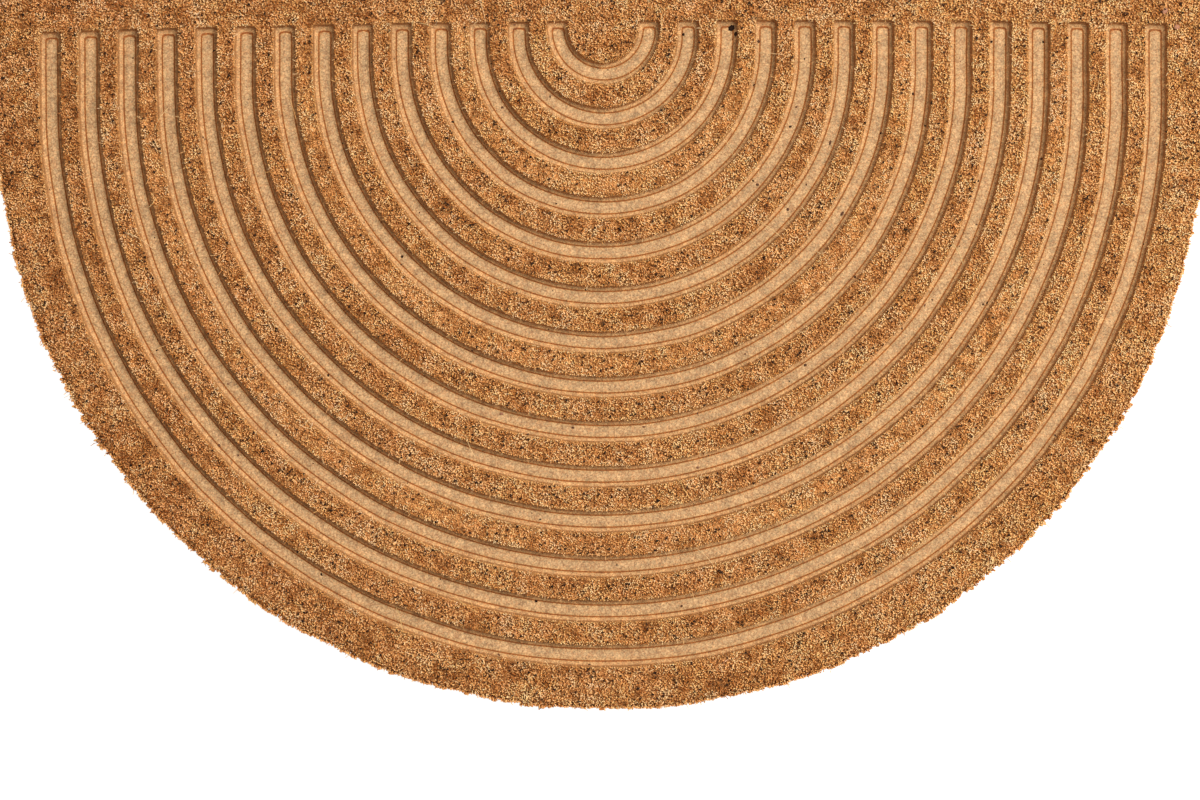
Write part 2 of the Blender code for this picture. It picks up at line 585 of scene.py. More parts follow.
@dataclass(frozen=True)
class FibreKind:
    """One kind of cut coir fibre. Lengths and thicknesses are in mm, and a fibre is drawn two to
    four times as thick as the real 0.2 to 0.3 mm, which would be thinner than the picture shows."""

    per_mm2: float
    length: tuple[float, float]
    thickness: tuple[float, float]
    lean_deg: tuple[float, float]
    # Least and greatest inset from a channel's mouth where it stands, in mm
    band: tuple[float, float]
    curl: float = 0.0
    # How much of the curl goes down, so that curled fibres lie in the pile
    droop: float = 0.3
    # How far the roots stand below the top of the pile, or None where they stand on the body
    root_depth: tuple[float, float] | None = None
    lighter: float = 0.0


class SmallShape:
    """A closed shape that is repeated many times, as the places of its vertices along and round
    its middle line, and its triangles."""

    def keep(self, bm: bmesh.types.BMesh) -> None:
        """Keeps a finished mesh as arrays and frees it.

        Args:
            bm: The mesh of one shape.
        """
        bmesh.ops.triangulate(bm, faces=bm.faces)
        bmesh.ops.recalc_face_normals(bm, faces=bm.faces)
        bm.verts.index_update()
        self.places = np.array([vert.co[:] for vert in bm.verts])
        self.faces = np.array([[vert.index for vert in face.verts] for face in bm.faces])
        bm.free()


class FibreShape(SmallShape):
    """A three-sided strand, thin at its root and cut off square at its tip."""

    def __init__(self, rings: int, tip: float = 1.0) -> None:
        """Shapes one strand with bmesh.

        Args:
            rings: Number of three-sided rings between the root and the tip.
            tip: Width of the tip, where the strand's middle is 1.
        """
        bm = bmesh.new()
        bmesh.ops.create_cone(
            bm, cap_ends=True, segments=3, radius1=0.0, radius2=1.0, depth=1.0 / rings
        )
        bmesh.ops.translate(bm, verts=bm.verts, vec=(0.0, 0.0, 0.5 / rings))
        for _ in range(1, rings):
            highest = max(bm.faces, key=lambda face: face.calc_center_median().z)
            grown = bmesh.ops.extrude_discrete_faces(bm, faces=[highest])["faces"]
            bmesh.ops.translate(bm, verts=grown[0].verts, vec=(0.0, 0.0, 1.0 / rings))
        for vert in bm.verts:
            vert.co.xy *= 1 + (tip - 1) * max(vert.co.z * rings - 1, 0) / max(rings - 1, 1)
        self.keep(bm)


class ChipShape(SmallShape):
    """A small flattened crumb of husk."""

    def __init__(self, flatness: float = 0.5) -> None:
        """Shapes one crumb with bmesh.

        Args:
            flatness: Height of the crumb, where its width is 1.
        """
        bm = bmesh.new()
        bmesh.ops.create_icosphere(bm, subdivisions=1, radius=1.0)
        bmesh.ops.scale(bm, verts=bm.verts, vec=(1.0, flatness, 0.5))
        bmesh.ops.translate(bm, verts=bm.verts, vec=(0.0, 0.0, 0.5))
        self.keep(bm)


@dataclass
class Strands:
    """Fibres as arrays. Each has a root, a direction, a curl, a length, a thickness, a tone from
    dark to pale, and a blush from straw yellow to pinkish."""

    root: Array
    direction: Array
    curl: Array
    length: Array
    thickness: Array
    tone: Array
    blush: Array

    def only(self, chosen: Array) -> "Strands":
        """The fibres that a mask or an index array picks."""
        return Strands(*(getattr(self, name)[chosen] for name in self.__dataclass_fields__))


def joined_strands(name: str, batches: list[tuple[SmallShape, Strands]]) -> bpy.types.Object:
    """Joins batches of fibres into one mesh.

    Args:
        name: The piece's name.
        batches: Strand shapes, each with the fibres that have it.

    Returns:
        The object, with the attributes tone, blush and along, and a map with a cell for each fibre.
    """
    total = sum(len(strands.root) for _, strands in batches)
    cells = math.ceil(math.sqrt(total))
    points, faces, tones, blushes, alongs, maps = [], [], [], [], [], []
    first_point, first_fibre = 0, 0
    for shape, s in batches:
        count, size = len(s.root), len(shape.places)
        side = np.cross(s.direction, [0.0, 0.0, 1.0])
        side /= np.maximum(np.linalg.norm(side, axis=1, keepdims=True), 1e-6)
        other = np.cross(s.direction, side)
        a, b, t = shape.places.T
        middle = s.root[:, None] + (s.direction * s.length[:, None])[:, None] * t[:, None]
        middle = middle + (s.curl * s.length[:, None])[:, None] * (t**2)[:, None]
        half = s.thickness[:, None, None] / 2
        round_it = side[:, None] * a[:, None] + other[:, None] * b[:, None]
        points.append((middle + half * round_it).reshape(-1, 3))
        start = first_point + np.arange(count)[:, None, None] * size
        faces.append((shape.faces[None] + start).reshape(-1, 3))
        tones.append(np.repeat(s.tone, size))
        blushes.append(np.repeat(s.blush, size))
        alongs.append(np.tile(t, count))
        fibre = first_fibre + np.arange(count)
        corner = np.stack([0.5 + 0.3 * a, 0.15 + 0.7 * t], axis=1)[shape.faces.ravel()]
        cell = np.stack([fibre % cells, fibre // cells], axis=1)
        maps.append(((cell[:, None] + corner[None]) / cells).reshape(-1, 2))
        first_point += count * size
        first_fibre += count
    points, faces = np.concatenate(points), np.concatenate(faces)

    mesh = bpy.data.meshes.new(name)
    mesh.vertices.add(len(points))
    mesh.vertices.foreach_set("co", points.ravel())
    mesh.loops.add(faces.size)
    mesh.loops.foreach_set("vertex_index", faces.ravel().astype(np.int32))
    mesh.polygons.add(len(faces))
    mesh.polygons.foreach_set("loop_start", np.arange(0, faces.size, 3, dtype=np.int32))
    for attribute, values in (("tone", tones), ("blush", blushes), ("along", alongs)):
        layer = mesh.attributes.new(attribute, "FLOAT", "POINT")
        layer.data.foreach_set("value", np.concatenate(values).astype(np.float32))
    layer = mesh.uv_layers.new(name="OFBake")
    layer.data.foreach_set("uv", np.concatenate(maps).ravel().astype(np.float32))
    mesh.update(calc_edges=True)
    mesh.validate()
    made = bpy.data.objects.new(name, mesh)
    bpy.context.scene.collection.objects.link(made)
    return made


class PileZone(Enum):
    """Where a piece of the pile stands, with the ribs that it covers."""

    INNER_RIBS = range(0, 7)
    MIDDLE_RIBS = range(7, 10)
    OUTER_RIBS = range(10, 12)
    LAST_RIBS = range(12, 14)
    MARGIN = range(14, 15)
    BACK_STRIP = range(15, 16)


@dataclass
class Pile:
    """The short cut pile on the ribs, the margin and the strip behind the channels, with the
    sheared and half-melted fibres that lie up the channels' walls."""

    plan: MatPlan
    relief: MatRelief
    seed: int = 5
    cut_ends: FibreKind = FibreKind(
        1.0, length=(2.4, 3.7), thickness=(0.5, 1.0), lean_deg=(4, 50), band=(-1000.0, 0.35)
    )
    squiggles: FibreKind = FibreKind(
        0.055,
        length=(2.6, 5.5),
        thickness=(0.34, 0.62),
        lean_deg=(52, 88),
        band=(-1000.0, 0.0),
        curl=0.5,
        root_depth=(0.5, 2.2),
        lighter=0.15,
    )
    wall_fibres: FibreKind = FibreKind(
        0.6, length=(1.4, 3.0), thickness=(0.4, 0.8), lean_deg=(5, 40), band=(0.2, 0.9)
    )
    matted: SmoothNoise = SmoothNoise(31, 5 * MM)
    hues: SmoothNoise = SmoothNoise(37, 12 * MM)
    combing: SmoothNoise = SmoothNoise(32, 9 * MM)
    ragged: SmoothNoise = SmoothNoise(35, 2.5 * MM)
    ragged_size: float = 0.6 * MM
    # Clumps, patches and stains, each with how much it changes the tone
    tone_noises: tuple[tuple[SmoothNoise, float], ...] = (
        (SmoothNoise(36, 3 * MM), 0.36),
        (SmoothNoise(33, 6 * MM), 0.32),
        (SmoothNoise(34, 28 * MM), 0.12),
    )
    tone: float = 0.51
    tone_spread: float = 0.2
    mouth_tone: float = 0.02
    rim_tone: float = 0.04
    matted_tone: float = 0.5
    matted_from: float = 0.45
    margin_tone: float = -0.045
    blush: float = 0.42
    blush_spread: float = 0.14
    hue_blush: float = 0.18
    # Painted light: the pile's tone rises towards the right, standing in for the key light's falloff;
    # the left is also a little redder
    right_painted_light: float = 0.07
    right_blush: float = -0.1
    # How strongly fibres follow the combing, their shoulder's slope and the rim's slope
    combed: float = 0.5
    shoulder_lean: float = 0.8
    rim_lean: float = 0.5
    straighter_at_mouth: float = 0.75
    mouth_width: float = 2.0 * MM
    shoulder_width: float = 5.0 * MM
    rim_width: float = 4.0 * MM
    margin_start: float = 6.0 * MM
    # Fibres stop this far inside the frayed outline, and cut ends start this far under the body
    edge_room: float = 0.7 * MM
    root_sink: float = 0.4 * MM
    # How high the pile is over the body, for the fibres that lie in its top
    standing: float = 3.1 * MM
    # A fibre may stand this far over the pile's top, and is sunk by at most this much for it
    over_top: float = 0.5 * MM
    most_sunk: float = 1.6 * MM
    jitter: float = 0.55
    slope_step: float = 0.3 * MM

    def scatter(self, rng: np.random.Generator, kind: FibreKind) -> Array:
        """Random places on the pile.

        Args:
            rng: The source of the random numbers.
            kind: The fibre, with its number to a square millimetre and its band.

        Returns:
            Plan positions, about the centre of the round edge.
        """
        step = MM / math.sqrt(kind.per_mm2)
        reach = self.plan.round_radius + 2 * MM
        x, y = np.meshgrid(
            np.arange(-reach, reach, step), np.arange(-reach, self.plan.straight_strip, step)
        )
        points = np.column_stack([x.ravel(), y.ravel()])
        points += rng.uniform(-self.jitter, self.jitter, points.shape) * step
        x, y = points[:, 0], points[:, 1]
        points = points[self.plan.edge_gap(x, y) + self.plan.fray(x, y) > self.edge_room]
        x, y = points[:, 0], points[:, 1]
        inset = self.plan.inset(x, y) + self.ragged_size * self.ragged.at(x, y)
        return points[(inset > kind.band[0] * MM) & (inset < kind.band[1] * MM)]

    def uphill(self, x: Array, y: Array) -> Array:
        """Directions that point away from the nearest channel.

        Args:
            x: Positions along X.
            y: Positions along Y, from the centre of the round edge.

        Returns:
            Unit directions in the plan.
        """
        step = self.slope_step
        gx = self.plan.inset(x - step, y) - self.plan.inset(x + step, y)
        gy = self.plan.inset(x, y - step) - self.plan.inset(x, y + step)
        length = np.maximum(np.hypot(gx, gy), 1e-9)
        return np.column_stack([gx / length, gy / length])

    def at_mouth(self, inset: Array) -> Array:
        """How near a channel's mouth fibres stand, from 0 to 1 at the mouth."""
        return np.clip(1 + inset / self.mouth_width, 0.0, 1.0)

    def at_rim(self, x: Array, y: Array) -> Array:
        """How near the mat's outline fibres stand, from 0 to 1 at the outline."""
        return np.clip(1 - self.plan.edge_gap(x, y) / self.rim_width, 0.0, 1.0)

    def headings(self, places: Array, inset: Array, azimuth: Array) -> Array:
        """Directions in the plan towards which fibres lean.

        Args:
            places: Plan positions.
            inset: How far each position lies inside a channel's mouth.
            azimuth: A random direction for each, in radians.

        Returns:
            Unit directions.
        """
        x, y = places.T
        flat = np.column_stack([np.cos(azimuth), np.sin(azimuth)])
        combed = 2 * math.pi * self.combing.at(x, y)
        flat += self.combed * np.column_stack([np.cos(combed), np.sin(combed)])
        # The ribs are rounded, so the fibres of their shoulders lean a little over the channels
        on_shoulder = np.clip(1 + inset / self.shoulder_width, 0.0, 1.0)[:, None]
        flat -= self.shoulder_lean * on_shoulder * self.uphill(x, y)
        outward = places / np.maximum(np.hypot(x, y), 1e-6)[:, None]
        flat += self.rim_lean * self.at_rim(x, y)[:, None] * outward
        return flat / np.maximum(np.linalg.norm(flat, axis=1, keepdims=True), 1e-6)

    def colours(
        self, rng: np.random.Generator, places: Array, inset: Array, lighter: float
    ) -> tuple[Array, Array]:
        """Colours of the fibres.

        Args:
            rng: The source of the random numbers.
            places: Plan positions.
            inset: How far each position lies inside a channel's mouth.
            lighter: How much lighter than the pile this kind of fibre is.

        Returns:
            The tone and the blush of each.
        """
        x, y = places.T
        right = x / self.plan.round_radius
        tone = self.tone + lighter + self.tone_spread * rng.standard_normal(len(x))
        for noise, amount in self.tone_noises:
            tone += amount * noise.at(x, y)
        tone += self.mouth_tone * self.at_mouth(inset) + self.rim_tone * self.at_rim(x, y)
        tone += self.matted_tone * np.maximum(self.matted.at(x, y) - self.matted_from, 0.0)
        tone += self.margin_tone * np.clip(-inset / self.margin_start - 1, 0.0, 1.0)
        # Painted light: lighter towards the right
        tone += self.right_painted_light * right
        blush = self.blush + self.blush_spread * rng.standard_normal(len(x))
        blush += self.right_blush * right + self.hue_blush * self.hues.at(x, y)
        return np.clip(tone, 0.0, 1.0), np.clip(blush, 0.0, 1.0)

    def grow(self, rng: np.random.Generator, kind: FibreKind) -> Strands:
        """Grows one kind of fibre over the whole pile.

        Args:
            rng: The source of the random numbers.
            kind: The fibre's sizes.

        Returns:
            The fibres, placed in the frame.
        """
        places = self.scatter(rng, kind)
        x, y = places.T
        count = len(x)
        inset = self.plan.inset(x, y)
        ground = self.relief.height(x, y, inset)
        length = rng.uniform(*kind.length, count) * MM
        lean = np.radians(rng.uniform(*kind.lean_deg, count))
        lean *= 1 - self.straighter_at_mouth * self.at_mouth(inset)
        flat = self.headings(places, inset, rng.uniform(0, 2 * math.pi, count))
        direction = np.column_stack([flat * np.sin(lean)[:, None], np.cos(lean)])
        turned = np.column_stack([-flat[:, 1], flat[:, 0], np.zeros(count)])
        curl = turned * (kind.curl * rng.uniform(-1, 1, count))[:, None]
        curl[:, 2] -= kind.curl * kind.droop
        tone, blush = self.colours(rng, places, inset, kind.lighter)
        if kind.root_depth is None:
            base = ground - self.root_sink
        else:
            top = np.minimum(ground + self.standing, self.relief.pile_top)
            base = top - rng.uniform(*kind.root_depth, count) * MM
        over = base + direction[:, 2] * length - self.relief.pile_top - self.over_top
        base = base - np.clip(over, 0.0, self.most_sunk)
        return Strands(
            root=self.plan.placed(places, base),
            direction=direction,
            curl=curl,
            length=length,
            thickness=rng.uniform(*kind.thickness, count) * MM,
            tone=tone,
            blush=blush,
        )

    def zone_of(self, strands: Strands) -> Array:
        """The rib number of each fibre, with one past the margin for the back strip."""
        x, y = strands.root[:, 0], strands.root[:, 1] - self.plan.arc_centre_y
        return np.where(y > self.plan.leg_end(x), 15, self.plan.rib(x, y))

    def build(self) -> list[bpy.types.Object]:
        """Builds the pile.

        Returns:
            One piece for each zone, without materials.
        """
        rng = np.random.default_rng(self.seed)
        grown = [
            (FibreShape(1), self.grow(rng, self.cut_ends)),
            (FibreShape(2, 0.7), self.grow(rng, self.squiggles)),
            (FibreShape(1), self.grow(rng, self.wall_fibres)),
        ]
        zones = [self.zone_of(strands) for _, strands in grown]
        pieces = []
        for zone in PileZone:
            batches = [
                (shape, strands.only(np.isin(numbers, list(zone.value))))
                for (shape, strands), numbers in zip(grown, zones)
            ]
            pieces.append(joined_strands(f"pile_{zone.name.lower()}", batches))
        return pieces


@dataclass
class Rim:
    """The cut side of the mat: upright pile ends, frayed outwards in small tufts."""

    plan: MatPlan
    seed: int = 8
    count: int = 17000
    thickness: tuple[float, float] = (0.75, 1.3)
    # How far inside the outline the roots stand, and how much the fibres rise and swerve
    inward: tuple[float, float] = (1.1 * MM, 2.8 * MM)
    rise: tuple[float, float] = (0.8 * MM, 3.0 * MM)
    swerve: float = 0.5 * MM
    root_height: tuple[float, float] = (0.8 * MM, 12.8 * MM)
    # How far a fibre's tip stands off the frayed outline, and the least reach from its root
    tip_off: tuple[float, float] = (-0.6 * MM, 0.1 * MM)
    least_reach: float = 0.6 * MM
    tone: float = 0.43
    tone_spread: float = 0.2
    palest: float = 0.8
    blush: tuple[float, float] = (0.2, 0.8)

    def build(self) -> bpy.types.Object:
        """Builds the rim's fibres as one piece.

        Returns:
            The piece, without materials.
        """
        rng = np.random.default_rng(self.seed)
        plan, edge = self.plan, self.plan.round_radius
        # The outline's parts: the round edge, the right and left sides, and the straight edge
        sides = np.array([math.pi * edge, plan.straight_strip, plan.straight_strip, 2 * edge])
        part = rng.choice(4, self.count, p=sides / sides.sum())
        share = rng.uniform(size=self.count)
        angle = share * math.pi
        radius = plan.edge_radius(angle)
        round_part, straight_y = part == 0, share * plan.straight_strip
        across = [radius * np.cos(angle), edge, -edge]
        x = np.select([round_part, part == 1, part == 2], across, edge * (2 * share - 1))
        down = [-radius * np.sin(angle), plan.straight_strip]
        y = np.select([round_part, part == 3], down, straight_y)
        out = np.select(
            [round_part[:, None], (part == 3)[:, None]],
            [np.column_stack([np.cos(angle), -np.sin(angle)]), np.array([[0.0, 1.0]])],
            np.column_stack([np.sign(x), np.zeros(self.count)]),
        )
        height = rng.uniform(*self.root_height, self.count)
        inward = rng.uniform(*self.inward, self.count)
        reach = inward + plan.fray(x, y) + rng.uniform(*self.tip_off, self.count)
        reach = np.maximum(reach, self.least_reach)
        swerve = rng.uniform(-1, 1, self.count) * self.swerve
        along = np.column_stack([-out[:, 1], out[:, 0]]) * swerve[:, None]
        span = np.column_stack([out * reach[:, None] + along, rng.uniform(*self.rise, self.count)])
        length = np.linalg.norm(span, axis=1)
        thickness = rng.uniform(*self.thickness, self.count) * MM
        tone = self.tone + self.tone_spread * rng.standard_normal(self.count)
        strands = Strands(
            root=plan.placed(np.column_stack([x, y]) - out * inward[:, None], height),
            direction=span / length[:, None],
            curl=np.zeros((self.count, 3)),
            length=length,
            thickness=thickness,
            tone=np.clip(tone, 0.0, self.palest),
            blush=rng.uniform(*self.blush, self.count),
        )
        return joined_strands("rim_fibres", [(FibreShape(1), strands)])


@dataclass(frozen=True)
class NotedCrumb:
    """A crumb that the picture shows, by its place there in pixels and its size in mm."""

    across_px: float
    down_px: float
    length: float
    width: float
    turned_deg: float
    redness: float = 0.3


@dataclass(frozen=True)
class NotedFibre:
    """A long loose fibre that the picture shows, from its place in pixels; sizes in mm."""

    across_px: float
    down_px: float
    heading_deg: float
    length: float
    bend: float


@dataclass
class LooseBits:
    """Crumbs of dark pith on the mat, and pale long fibres that lie across it."""

    plan: MatPlan
    relief: MatRelief
    studio: "Studio"
    seed: int = 17
    crumb_count: int = 700
    crumb_length: tuple[float, float] = (0.6, 2.2)
    stub_count: int = 5800
    stub_length: float = 1.6 * MM
    stub_thickness: tuple[float, float] = (1.2, 2.5)
    fibre_count: int = 50
    fibre_length: tuple[float, float] = (6.0, 20.0)
    fibre_thickness: tuple[float, float] = (0.35, 0.5)
    fibre_bend: float = 0.45
    # How far inside the outline the bits start, and how far inside it a long fibre has to end
    edge_room: float = 4.0 * MM
    tip_room: float = 1.0 * MM
    # Past this inset a crumb lies in a channel, this high over its floor. Elsewhere it is sunk this
    # far into the pile's top
    foot_inset: float = 1.2 * MM
    floor_lift: float = 0.15 * MM
    sunk: float = 0.5 * MM
    crumb_width_share: tuple[float, float] = (0.5, 0.95)
    crumb_slope: float = 0.12
    # Mean and spread of how red the crumbs are
    crumb_redness: tuple[float, float] = (0.15, 0.25)
    # How far the dark fibre ends stand over the pile's top, how they lean and how pale they are
    stub_lift: tuple[float, float] = (0.3 * MM, 0.9 * MM)
    stub_lean: float = 0.3
    palest_stub: float = 0.15
    # How the long fibres climb, their height from the pile's top in mm, and their colours
    fibre_climb: float = 0.02
    fibre_level: tuple[float, float] = (-0.5, 0.2)
    fibre_tone: tuple[float, float] = (0.5, 0.95)
    fibre_blush: tuple[float, float] = (0.0, 0.6)
    noted_crumbs: tuple[NotedCrumb, ...] = (
        NotedCrumb(732, 27, length=5.0, width=4.2, turned_deg=40, redness=0.0),
        NotedCrumb(736, 33, length=3.2, width=2.2, turned_deg=80, redness=0.1),
        NotedCrumb(501, 414, length=2.6, width=2.0, turned_deg=20, redness=0.8),
        NotedCrumb(831, 142, length=3.6, width=1.6, turned_deg=75),
        NotedCrumb(843, 213, length=3.4, width=1.8, turned_deg=60),
        NotedCrumb(758, 184, length=2.2, width=1.8, turned_deg=0),
        NotedCrumb(806, 365, length=2.2, width=1.8, turned_deg=30),
        NotedCrumb(573, 428, length=2.2, width=1.4, turned_deg=-20),
        NotedCrumb(227, 384, length=1.9, width=1.3, turned_deg=10, redness=0.6),
        NotedCrumb(698, 468, length=2.0, width=1.7, turned_deg=0, redness=0.6),
        NotedCrumb(550, 96, length=1.8, width=1.2, turned_deg=90),
        NotedCrumb(644, 427, length=1.9, width=1.3, turned_deg=0, redness=0.5),
        NotedCrumb(926, 305, length=1.9, width=1.3, turned_deg=70, redness=0.6),
        NotedCrumb(1165, 11, length=5.0, width=3.6, turned_deg=50, redness=1.0),
        NotedCrumb(1177, 27, length=4.4, width=3.8, turned_deg=10, redness=1.0),
    )
    noted_fibres: tuple[NotedFibre, ...] = (
        NotedFibre(122, 232, heading_deg=-12, length=21.0, bend=-0.3),
        NotedFibre(395, 605, heading_deg=-66, length=19.0, bend=-0.15),
        NotedFibre(757, 53, heading_deg=3, length=12.0, bend=-0.1),
    )

    def anywhere(self, rng: np.random.Generator, count: int) -> Array:
        """Random places on the mat, clear of its outline.

        Args:
            rng: The source of the random numbers.
            count: Number of places wanted.

        Returns:
            Plan positions.
        """
        reach, tries = self.plan.round_radius, 4 * count
        x = rng.uniform(-reach, reach, tries)
        y = rng.uniform(-reach, self.plan.straight_strip, tries)
        return np.column_stack([x, y])[self.plan.edge_gap(x, y) > self.edge_room][:count]

    def noted_places(self, noted: tuple) -> Array:
        """Plan positions of the bits that the picture shows."""
        return np.array([self.studio.plan_place(bit.across_px, bit.down_px) for bit in noted])

    @staticmethod
    def note(noted: tuple, **drawn: Array) -> None:
        """Puts the noted bits' own values in place of the first random ones."""
        for name, values in drawn.items():
            values[: len(noted)] = [getattr(bit, name) for bit in noted]

    def stubs(self) -> Strands:
        """Grows the ends of dark rotted fibres, level with the pile's top and only on the pile.

        Returns:
            The fibre ends, placed in the frame.
        """
        rng = np.random.default_rng(self.seed + 2)
        places = self.anywhere(rng, self.stub_count)
        places = places[self.plan.inset(*places.T) < 0]
        count = len(places)
        level = self.relief.pile_top - self.stub_length + rng.uniform(*self.stub_lift, count)
        flat = rng.uniform(-self.stub_lean, self.stub_lean, (count, 2))
        return Strands(
            root=self.plan.placed(places, level),
            direction=np.column_stack([flat, np.sqrt(1 - np.sum(flat**2, axis=1))]),
            curl=np.zeros((count, 3)),
            length=np.full(count, self.stub_length),
            thickness=rng.uniform(*self.stub_thickness, count) * MM,
            tone=rng.uniform(0.0, self.palest_stub, count),
            blush=np.zeros(count),
        )

    def crumbs(self) -> bpy.types.Object:
        """Builds the crumbs and the dark fibre ends as one piece.

        Returns:
            The piece, without materials.
        """
        rng = np.random.default_rng(self.seed)
        noted, found = self.noted_crumbs, self.anywhere(rng, self.crumb_count)
        places = np.concatenate([self.noted_places(noted), found])
        count = len(places)
        least, most = self.crumb_length
        # Most crumbs are small
        length = least + (most - least) * rng.uniform(size=count) ** 3
        width = length * rng.uniform(*self.crumb_width_share, count)
        turned = rng.uniform(0, 180, count)
        redness = np.clip(rng.normal(*self.crumb_redness, count), 0, 1)
        self.note(noted, length=length, width=width, turned_deg=turned, redness=redness)
        heading = np.radians(turned)
        inset = self.plan.inset(*places.T)
        floor = self.relief.height(*places.T, inset)
        on_pile = inset <= self.foot_inset
        level = np.where(on_pile, self.relief.pile_top - self.sunk, floor + self.floor_lift)
        slope = rng.uniform(-self.crumb_slope, self.crumb_slope, count)
        direction = np.column_stack([np.cos(heading), np.sin(heading), slope])
        start = self.plan.placed(places, level) - direction * length[:, None] * MM / 2
        curl, blush = np.zeros((count, 3)), np.zeros(count)
        strands = Strands(start, direction, curl, length * MM, width * MM, redness, blush)
        batches = [(ChipShape(), strands), (FibreShape(1), self.stubs())]
        return joined_strands("pith_crumbs", batches)

    def fibres(self) -> bpy.types.Object:
        """Builds the long loose fibres as one piece.

        Returns:
            The piece, without materials.
        """
        rng = np.random.default_rng(self.seed + 1)
        noted, found = self.noted_fibres, self.anywhere(rng, self.fibre_count)
        places = np.concatenate([self.noted_places(noted), found])
        count = len(places)
        length = rng.uniform(*self.fibre_length, count)
        turned = rng.uniform(0, 360, count)
        bend = rng.uniform(-self.fibre_bend, self.fibre_bend, count)
        self.note(noted, length=length, heading_deg=turned, bend=bend)
        heading = np.radians(turned)
        climb = np.full(count, self.fibre_climb)
        direction = np.column_stack([np.cos(heading), np.sin(heading), climb])
        across = np.column_stack([-np.sin(heading), np.cos(heading), np.zeros(count)])
        ends = places + (direction + across * bend[:, None])[:, :2] * length[:, None] * MM
        inside = self.plan.edge_gap(*ends.T) > self.tip_room
        level = self.relief.pile_top + rng.uniform(*self.fibre_level, count) * MM
        strands = Strands(
            root=self.plan.placed(places, level),
            direction=direction,
            curl=across * bend[:, None],
            length=length * MM,
            thickness=rng.uniform(*self.fibre_thickness, count) * MM,
            tone=rng.uniform(*self.fibre_tone, count),
            blush=rng.uniform(*self.fibre_blush, count),
        )
        return joined_strands("loose_fibres", [(FibreShape(9, 0.6), strands.only(inside))])


def linear(hex_colour: str) -> tuple[float, float, float, float]:
    """Turns an sRGB hex colour into the linear colour that a shader takes."""
    channels = [int(hex_colour[i : i + 2], 16) / 255 for i in (1, 3, 5)]
    return (*(c / 12.92 if c <= 0.04045 else ((c + 0.055) / 1.055) ** 2.4 for c in channels), 1.0)


def add_node(
    tree: bpy.types.NodeTree,
    kind: str,
    settings: dict | None = None,
    inputs: dict | None = None,
) -> bpy.types.Node:
    """Adds a shader node with its settings and links.

    Args:
        tree: The material's node tree.
        kind: The node's type name.
        settings: Properties to set on the node.
        inputs: Values or output sockets for its inputs, by name or number.

    Returns:
        The new node.
    """
    made = tree.nodes.new(kind)
    for name, value in (settings or {}).items():
        setattr(made, name, value)
    for name, value in (inputs or {}).items():
        if isinstance(value, bpy.types.NodeSocket):
            tree.links.new(value, made.inputs[name])
        else:
            made.inputs[name].default_value = value
    return made


def set_ramp(ramp: bpy.types.Node, stops: tuple[tuple[float, str], ...]) -> None:
    """Gives a Color Ramp node its stops.

    Args:
        ramp: The node.
        stops: Positions from 0 to 1, with sRGB hex colours.
    """
    elements = ramp.color_ramp.elements
    while len(elements) > 1:
        elements.remove(elements[-1])
    elements[0].position, elements[0].color = stops[0][0], linear(stops[0][1])
    for position, colour in stops[1:]:
        elements.new(position).color = linear(colour)


def new_material(
    name: str, roughness: float, specular: float
) -> tuple[bpy.types.Material, bpy.types.NodeTree, bpy.types.Node]:
    """Makes a material with one shader.

    Args:
        name: What the real surface is.
        roughness: The shader's roughness.
        specular: The shader's specular level.

    Returns:
        The material, its node tree and its shader.
    """
    material = bpy.data.materials.new(name)
    material.use_nodes = True
    shader = material.node_tree.nodes["Principled BSDF"]
    shader.inputs["Roughness"].default_value = roughness
    shader.inputs["Specular IOR Level"].default_value = specular
    return material, material.node_tree, shader


# Settings of a Mix node that blends two colours, or multiplies them
BLEND = {"data_type": "RGBA"}
MULTIPLY = {"data_type": "RGBA", "blend_type": "MULTIPLY"}


@dataclass(frozen=True)
class CutCoirFibre:
    """Coconut husk fibre, dried and cut: matte, straw to rust brown, with painted shade that darkens
    each fibre towards its root.
    """

    name: str = "cut_coir_fibre"
    stops: tuple[tuple[float, str], ...] = (
        (0.0, "#965626"),
        (0.25, "#cb8748"),
        (0.5, "#efb575"),
        (0.75, "#f1c58b"),
        (1.0, "#f1d1a3"),
    )
    straw_tint: str = "#ffffe6"
    pink_tint: str = "#ffeff5"
    # Painted shade: the factor on a fibre's colour at its root
    root_shade: float = 0.48
    roughness: float = 0.9
    specular: float = 0.1
    # Share of a fibre's length, from its root, over which the painted shade fades
    painted_shade_part: float = 0.8

    def build(self) -> bpy.types.Material:
        """Builds the material.

        Returns:
            The finished material.
        """
        material, tree, shader = new_material(self.name, self.roughness, self.specular)
        tone, along, blush = (
            add_node(tree, "ShaderNodeAttribute", {"attribute_name": name}).outputs["Fac"]
            for name in ("tone", "along", "blush")
        )
        ramp = add_node(tree, "ShaderNodeValToRGB", inputs={"Fac": tone})
        set_ramp(ramp, self.stops)
        # Painted shade: each fibre is darkened towards its root, where shade falls between the fibres
        inputs = {"Value": along, "From Max": self.painted_shade_part, "To Min": self.root_shade}
        shade = add_node(tree, "ShaderNodeMapRange", inputs=inputs)
        inputs = {0: blush, 6: linear(self.straw_tint), 7: linear(self.pink_tint)}
        tint = add_node(tree, "ShaderNodeMix", BLEND, inputs)
        colour = ramp.outputs["Color"]
        for factor in (shade.outputs["Result"], tint.outputs[2]):
            inputs = {0: 1.0, 6: colour, 7: factor}
            colour = add_node(tree, "ShaderNodeMix", MULTIPLY, inputs).outputs[2]
        tree.links.new(colour, shader.inputs["Base Color"])
        return material


